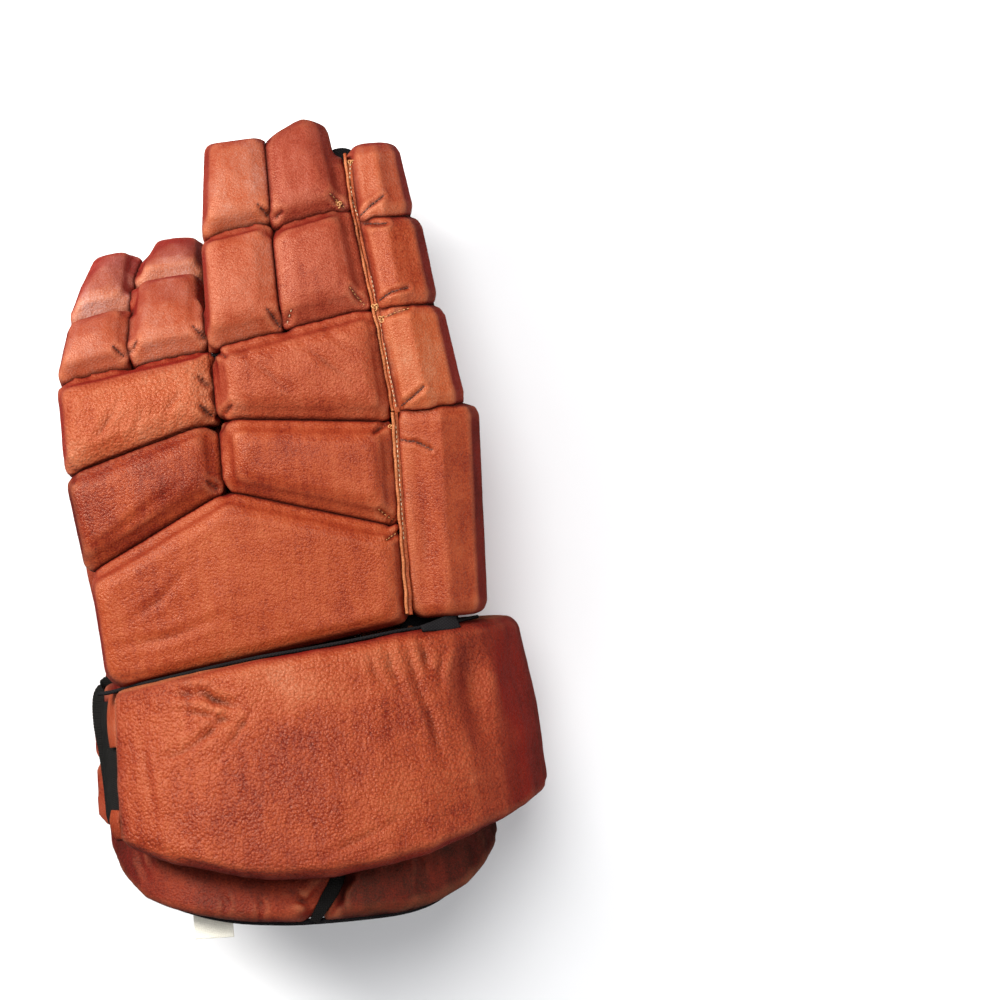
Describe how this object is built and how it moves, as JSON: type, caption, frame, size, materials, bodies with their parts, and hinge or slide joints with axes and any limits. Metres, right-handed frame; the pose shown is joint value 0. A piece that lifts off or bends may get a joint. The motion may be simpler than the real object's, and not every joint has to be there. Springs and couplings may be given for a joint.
{
  "type": "ice hockey glove",
  "caption": "Left-hand ice hockey glove in tan leather with foam rolls on the back, a flared padded cuff, a padded thumb and a net and suede palm, lying on its palm.",
  "frame": {"origin": "on the ground under the middle of the glove, which lies on its palm", "axes": "+Y from the rim of the cuff to the fingertips, +X towards the thumb side, +Z out of the back"},
  "size_m": [0.1886, 0.3324, 0.1254],
  "materials": {
    "leather": "satin, grained",
    "cloth": "matt knitted nylon",
    "net": "matt pierced net",
    "webbing": "ribbed woven tape",
    "suede": "matt suede",
    "label": "matt woven tape, blank"
  },
  "bodies": {
    "root": {"back_plate": "leather", "second_roll_little": "leather", "second_roll_thumb": "leather", "knuckle_roll_little": "leather", "knuckle_roll_thumb": "leather", "little_mid_block": "leather", "little_tip_block": "leather", "ring_mid_block": "leather", "ring_tip_block": "leather", "middle_mid_block": "leather", "middle_tip_block": "leather", "index_mid_block": "leather", "index_tip_block": "leather", "index_side_tip": "leather", "index_side_mid": "leather", "index_side_base": "leather", "thumb_side_long": "leather", "little_side_lower": "leather", "little_side_upper": "leather", "cuff_roll": "leather", "cuff_lower_thumb": "leather", "cuff_lower_little": "leather", "cuff_palm_panel": "leather", "cuff_lining": "cloth", "cuff_elastic": "webbing", "thumb_base_pad": "leather", "thumb_tip_pad": "leather", "thumb_sleeve": "cloth", "thumb_web": "suede", "thumb_wall": "suede", "hand_lining": "cloth", "palm_net": "net", "palm_suede": "suede", "index_sleeve": "cloth", "index_facing": "suede", "middle_sleeve": "cloth", "middle_facing": "suede", "ring_sleeve": "cloth", "ring_facing": "suede", "little_sleeve": "cloth", "little_facing": "suede", "thumb_inner_tape": "webbing", "thumb_outer_tape": "webbing", "index_side_tape": "webbing", "little_side_tape": "webbing", "wrist_tape": "webbing", "index_seam": "leather", "back_seam": "leather", "rim_label": "label"}
  },
  "joints": []
}
